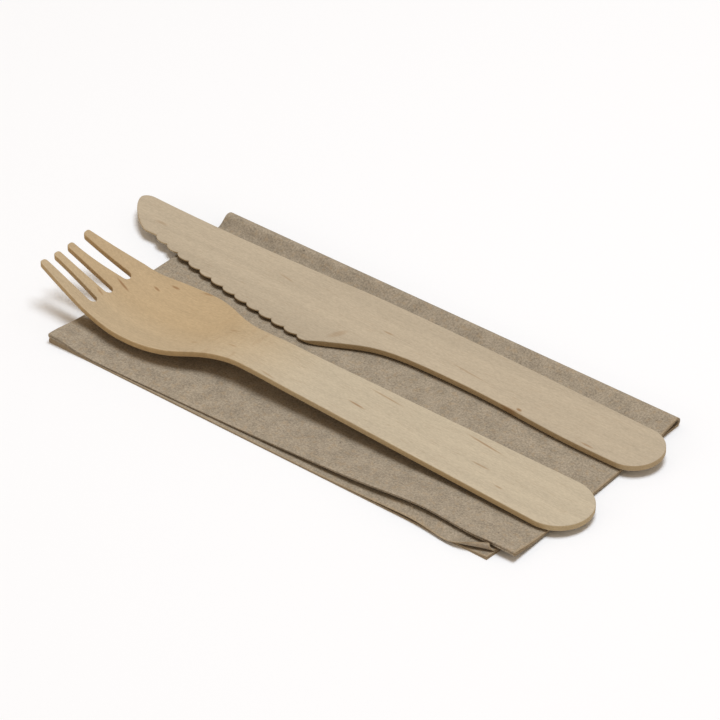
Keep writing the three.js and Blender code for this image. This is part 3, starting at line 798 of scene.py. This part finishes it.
class CUTLERY_OT_fork(bpy.types.Operator):
    """Builds the pressed fork: four lanes of grid that are tines in front and one board behind"""
    bl_idname = "cutlery.fork"
    bl_label = "Fork"

    def execute(self, context):
        size = context.scene.cutlery_fork
        lanes, outline = self.lanes(size)

        def underside(flat):
            """The middle line's height, and a hollow that grows with the square of the way outwards."""
            hollow = through_keys(FORK_HOLLOWS, flat[:, 0]) * (flat[:, 1] / size.head_half_width) ** 2
            return through_keys(FORK_HEIGHTS, flat[:, 0]) + hollow

        points, quads = board(lanes, outline, size.edge_radius, underside,
                              lambda flat: np.full(len(flat), size.veneer))
        points = turned(points, size.turn, 0)
        material = birch_material("Fork birch", size.colour, size.bowl_colour, FORK_BROWNING, FORK_MARKS)
        make_piece("fork_pressed", points, quads, "fork", material)
        return {"FINISHED"}

    def lanes(self, size):
        """Low and high side of each tine as functions of x, and the closed outline they make."""
        root = SLOT_ROOT_WIDTH / 2
        root_start = TINE_LENGTH - root
        end_centre = size.length - size.end_radius
        x = np.concatenate([
            TINE_TIP_ROUNDING * (1 - np.cos(QUARTER[:-1])),
            grid_lines(TINE_TIP_ROUNDING, (root_start, TINE_STEP))[:-1],
            root_start + root * np.sin(QUARTER[:-1]),
            grid_lines(TINE_LENGTH, (NECK_PLACE, HEAD_STEP), (end_centre, HANDLE_STEP))[:-1],
            end_centre + size.end_radius * np.sin(END_QUARTER),
        ])
        waist = (HEAD_PLACE + NECK_PLACE) / 2
        front = (HEAD_PLACE + TINE_LENGTH) / 2
        head, neck = size.head_half_width, size.neck_half_width
        side = np.concatenate([
            bezier((TINE_LENGTH, SHOULDER), (front, SHOULDER + CHEEK), (front, head), (HEAD_PLACE, head)),
            bezier((HEAD_PLACE, head), (waist, head), (waist, neck), (NECK_PLACE, neck))[1:],
            [(end_centre, size.end_radius)],
        ])
        width = np.interp(x, side[:, 0], side[:, 1])
        past = np.clip(x - end_centre, 0, size.end_radius)
        width = np.where(past > 0, np.sqrt(np.maximum(size.end_radius ** 2 - past ** 2, 0)), width)

        rounding = TINE_TIP_ROUNDING - np.sqrt(
            np.maximum(TINE_TIP_ROUNDING ** 2 - np.maximum(TINE_TIP_ROUNDING - x, 0) ** 2, 0))
        half_slot = np.sqrt(np.maximum(root ** 2 - np.clip(x - root_start, 0, root) ** 2, 0))
        to_root = smoothstep(x, TINE_LENGTH, HEAD_PLACE)
        open_slot = x < TINE_LENGTH + TOUCHING
        t = np.linspace(0, 1, FLARE_POINTS)
        place = ((1 - t) ** 2 * TINE_TIP_ROUNDING + 2 * t * (1 - t) * TINE_FLARE * TINE_LENGTH
                 + t ** 2 * root_start)
        flare = np.interp(x, place, t ** 2)
        count = len(TINE_TIPS)

        def slot_side(number, sign):
            """One side of a slot between two tines, or the outer side: from its place at the tip it
            flares to the root along a quadratic curve."""
            tine = number if sign > 0 else number - 1
            tip = TINE_TIPS[tine] - sign * TINE_TIP_WIDTH / 2
            if number in (0, count):
                t = np.clip((x - TINE_TIP_ROUNDING) / (TINE_LENGTH - TINE_TIP_ROUNDING), 0, 1)
                straight = tip - sign * (SHOULDER + sign * tip) * t
                line = np.where(x <= TINE_LENGTH, straight, -sign * width)
            else:
                middle = SLOT_ROOTS[number - 1]
                flared = tip + (middle + sign * root - tip) * flare
                line = np.where(x < root_start, flared, middle + sign * half_slot)
                share = (middle / SHOULDER) * (1 - to_root) + (number * 2 / count - 1) * to_root
                line = np.where(open_slot, line, share * width)
            return line + sign * rounding

        lanes, low_sides, high_sides = [], [], []
        for tine in range(count):
            low, high = slot_side(tine, 1), slot_side(tine + 1, -1)
            low_open = open_slot | (tine == 0)
            high_open = open_slot | (tine == count - 1)
            lines = board_lines(low, high, TINE_COLUMNS, size.edge_radius)
            lanes.append((x, lines, low_open, high_open))
            low_sides.append(low)
            high_sides.append(high)
        outline = [np.stack([x, low_sides[0]], -1)]
        outline.append(np.stack([x, high_sides[-1]], -1)[::-1])
        for tine in range(count - 1, 0, -1):
            outline.append(np.stack([x, low_sides[tine]], -1)[open_slot])
            outline.append(np.stack([x, high_sides[tine - 1]], -1)[open_slot][::-1])
        return lanes, np.concatenate(outline)


class CUTLERY_OT_knife(bpy.types.Operator):
    """Builds the toothed knife: one lane of grid between its back and its cutting edge"""
    bl_idname = "cutlery.knife"
    bl_label = "Knife"

    def execute(self, context):
        size = context.scene.cutlery_knife
        low, high = self.sides(size)
        pitch = (HEEL_PLACE - EDGE_START) / size.tooth_count
        end_centre = size.length - size.end_radius
        teeth = EDGE_START + pitch * np.arange(size.tooth_count)[:, None] + pitch * TOOTH_LINES
        x = np.concatenate([
            TIP_BACK * TIP_LINES[:-1],
            grid_lines(TIP_BACK, (EDGE_START, TINE_STEP))[:-1],
            teeth.ravel(),
            grid_lines(HEEL_PLACE, (GRIP_PLACE, GRIP_STEP), (end_centre, HANDLE_STEP))[:-1],
            end_centre + size.end_radius * np.sin(END_QUARTER),
        ])
        lower = np.interp(x, low[:, 0], low[:, 1])
        upper = np.interp(x, high[:, 0], high[:, 1])
        past = np.clip(x - end_centre, 0, size.end_radius)
        arc = np.sqrt(np.maximum(size.end_radius ** 2 - past ** 2, 0))
        lower = np.where(past > 0, -KNIFE_END_DROP - arc, lower)
        upper = np.where(past > 0, -KNIFE_END_DROP + arc, upper)
        everywhere = np.ones(len(x), dtype=bool)
        lines = board_lines(lower, upper, BLADE_COLUMNS, size.edge_radius)
        lanes = [(x, lines, everywhere, everywhere)]
        outline = np.concatenate([np.stack([x, lower], -1), np.stack([x, upper], -1)[::-1]])

        def thinning(flat):
            """What the bevel takes off: it grows evenly over the bevel width to the line of notches."""
            from_edge = flat[:, 1] - self.notch_line(np.clip(flat[:, 0], EDGE_START, HEEL_PLACE))
            run_out = smoothstep(flat[:, 0], HEEL_PLACE - size.bevel_width, HEEL_PLACE + size.bevel_width)
            taken = size.veneer - size.edge_thickness
            return taken * np.clip(1 - from_edge / size.bevel_width, 0, 1) * (1 - run_out)

        points, quads = board(lanes, outline, size.edge_radius,
                              lambda flat: (1 - BEVEL_SHARE) * thinning(flat),
                              lambda flat: size.veneer - thinning(flat))
        points = turned(points, size.tilt, 1)
        material = birch_material("Knife birch", size.colour, size.colour, NO_BROWNING, KNIFE_MARKS)
        make_piece("knife_cut", points, quads, "knife", material)
        return {"FINISHED"}

    def notch_line(self, place):
        """Height of the line of notches: straight from the first to the heel, with a belly."""
        t = (place - EDGE_START) / (HEEL_PLACE - EDGE_START)
        return -(EDGE_START_DEPTH + (HEEL_DEPTH - EDGE_START_DEPTH) * t) - EDGE_BOW * 4 * t * (1 - t)

    def sides(self, size):
        """The cutting edge and the back, each a row of cubic curves from the tip to the handle end, with
        one curve for each tooth: it drops from its notch and comes up slowly to the next."""
        end_centre = size.length - size.end_radius
        waist = HEEL_PLACE + WAIST_SHARE * (GRIP_PLACE - HEEL_PLACE)
        palm = (GRIP_PLACE + end_centre) / 2
        end_depth = KNIFE_END_DROP + size.end_radius
        pitch = (HEEL_PLACE - EDGE_START) / size.tooth_count
        low = [bezier((0, -TIP_DEPTH), (TIP_BACK / 10, -TIP_BULGE * TIP_DEPTH),
                      (EDGE_START / 3, -EDGE_START_DEPTH * EDGE_LEAD[1]),
                      (EDGE_START * EDGE_LEAD[0], -EDGE_START_DEPTH)),
               [(EDGE_START, self.notch_line(EDGE_START))]]
        for tooth in range(size.tooth_count):
            start = EDGE_START + tooth * pitch
            end = start + pitch
            low.append(bezier(
                (start, self.notch_line(start)),
                (start + TOOTH_DROP[0] * pitch,
                 self.notch_line(start) - TOOTH_DROP[1] * size.tooth_height),
                (end - TOOTH_RISE[0] * pitch,
                 self.notch_line(end) - TOOTH_RISE[1] * size.tooth_height),
                (end, self.notch_line(end)))[1:])
        low.append(bezier((HEEL_PLACE, -HEEL_DEPTH), (waist, -HEEL_SWEEP * GRIP_DEPTH),
                          (waist, -GRIP_DEPTH), (GRIP_PLACE, -GRIP_DEPTH))[1:])
        low.append(bezier((GRIP_PLACE, -GRIP_DEPTH), (palm, -GRIP_DEPTH), (palm, -end_depth),
                          (end_centre, -end_depth))[1:])
        hollow = (HOLLOW_SHARE * HEEL_PLACE, -2 * BACK_HOLLOW)
        high = [bezier((0, -TIP_DEPTH), (0, -TIP_DEPTH / 2), (TIP_BACK / 3, 0), (TIP_BACK, 0)),
                bezier((TIP_BACK, 0), (TIP_BACK / 3 + hollow[0] * 2 / 3, hollow[1] * 2 / 3),
                       (HEEL_PLACE / 3 + hollow[0] * 2 / 3, hollow[1] * 2 / 3), (HEEL_PLACE, 0))[1:],
                bezier((HEEL_PLACE, 0), (GRIP_PLACE, 0), (palm, -GRIP_DEPTH / 10),
                       (end_centre, size.end_radius - KNIFE_END_DROP))[1:]]
        return np.concatenate(low), np.concatenate(high)


class StageSettings(bpy.types.PropertyGroup):
    floor_size: bpy.props.FloatProperty(
        name="Floor", description="Side of the floor", default=3.0, unit="LENGTH")
    key_power: bpy.props.FloatProperty(
        name="Key light", description="Power of the soft light overhead", default=19.2, unit="POWER")
    front_power: bpy.props.FloatProperty(
        name="Front card", description="Power of the low light in front", default=2.2, unit="POWER")
    fill: bpy.props.FloatProperty(
        name="Fill", description="Brightness of the surroundings", default=0.44)


class CUTLERY_OT_stage(bpy.types.Operator):
    """Sets up the pale floor, the soft light and the camera"""
    bl_idname = "cutlery.stage"
    bl_label = "Stage"

    def execute(self, context):
        scene = context.scene
        size = scene.cutlery_stage
        half = size.floor_size / 2
        mesh = bpy.data.meshes.new("floor")
        mesh.from_pydata([(-half, -half, 0), (half, -half, 0), (half, half, 0), (-half, half, 0)], [],
                         [(0, 1, 2, 3)])
        floor = bpy.data.objects.new("floor", mesh)
        scene.collection.objects.link(floor)
        material, shader, _ = new_material("Pale floor", roughness=0.9, specular=0.1)
        shader.inputs["Base Color"].default_value = FLOOR_COLOUR
        mesh.materials.append(material)

        world = bpy.data.worlds.new("Studio")
        scene.world = world
        world.use_nodes = True
        background = world.node_tree.nodes["Background"]
        background.inputs["Color"].default_value = FILL_COLOUR
        background.inputs["Strength"].default_value = size.fill

        self.light(scene, "Key", size.key_power, KEY_PLACE, KEY_SIDES, KEY_COLOUR)
        self.light(scene, "Front card", size.front_power, FRONT_PLACE, FRONT_SIDES, FRONT_COLOUR)

        forward = Vector((
            -math.sin(VIEW_AZIMUTH) * math.cos(VIEW_ELEVATION),
            math.cos(VIEW_AZIMUTH) * math.cos(VIEW_ELEVATION),
            -math.sin(VIEW_ELEVATION)))
        eye = bpy.data.cameras.new("Camera")
        eye.sensor_width = SENSOR_WIDTH
        eye.lens = SENSOR_WIDTH * VIEW_FOCAL_SHARE
        eye.clip_end = FAR_CLIP
        camera = bpy.data.objects.new("Camera", eye)
        camera.location = VIEW_TARGET - forward * VIEW_DISTANCE
        camera.rotation_euler = forward.to_track_quat("-Z", "Y").to_euler()
        scene.collection.objects.link(camera)
        scene.camera = camera
        scene.view_settings.view_transform = "Standard"
        return {"FINISHED"}

    def light(self, scene, name, power, place, sides, colour):
        """A lit panel that faces the pack."""
        lamp = bpy.data.lights.new(name, "AREA")
        lamp.shape = "RECTANGLE"
        lamp.size, lamp.size_y = sides
        lamp.energy = power
        lamp.color = colour
        panel = bpy.data.objects.new(name, lamp)
        panel.location = place
        panel.rotation_euler = (-panel.location).to_track_quat("-Z", "Y").to_euler()
        scene.collection.objects.link(panel)


class CUTLERY_PT_panel(bpy.types.Panel):
    """Lists the pieces of the pack and their sizes"""
    bl_idname = "CUTLERY_PT_panel"
    bl_label = "Wooden Cutlery Pack"
    bl_space_type = "VIEW_3D"
    bl_region_type = "UI"
    bl_category = "Cutlery"

    def draw(self, context):
        for name in ("napkin", "fork", "knife", "stage"):
            box = self.layout.box()
            box.operator("cutlery." + name)
            settings = getattr(context.scene, "cutlery_" + name)
            for key in settings.bl_rna.properties.keys():
                if key not in ("rna_type", "name"):
                    box.prop(settings, key)


SETTINGS = {
    "cutlery_napkin": NapkinSettings,
    "cutlery_fork": ForkSettings,
    "cutlery_knife": KnifeSettings,
    "cutlery_stage": StageSettings,
}
CLASSES = (*SETTINGS.values(), CUTLERY_OT_napkin, CUTLERY_OT_fork, CUTLERY_OT_knife, CUTLERY_OT_stage,
           CUTLERY_PT_panel)


def register():
    """Makes the classes known and hangs each group of sizes on the scene."""
    for cls in CLASSES:
        bpy.utils.register_class(cls)
    for name, cls in SETTINGS.items():
        setattr(bpy.types.Scene, name, bpy.props.PointerProperty(type=cls))


def unregister():
    """Takes back what register did."""
    for name in SETTINGS:
        delattr(bpy.types.Scene, name)
    for cls in reversed(CLASSES):
        bpy.utils.unregister_class(cls)


def main():
    """Builds the stage and the pieces."""
    register()
    bpy.ops.cutlery.stage()
    bpy.ops.cutlery.napkin()
    bpy.ops.cutlery.fork()
    bpy.ops.cutlery.knife()


if __name__ == "__main__":
    main()
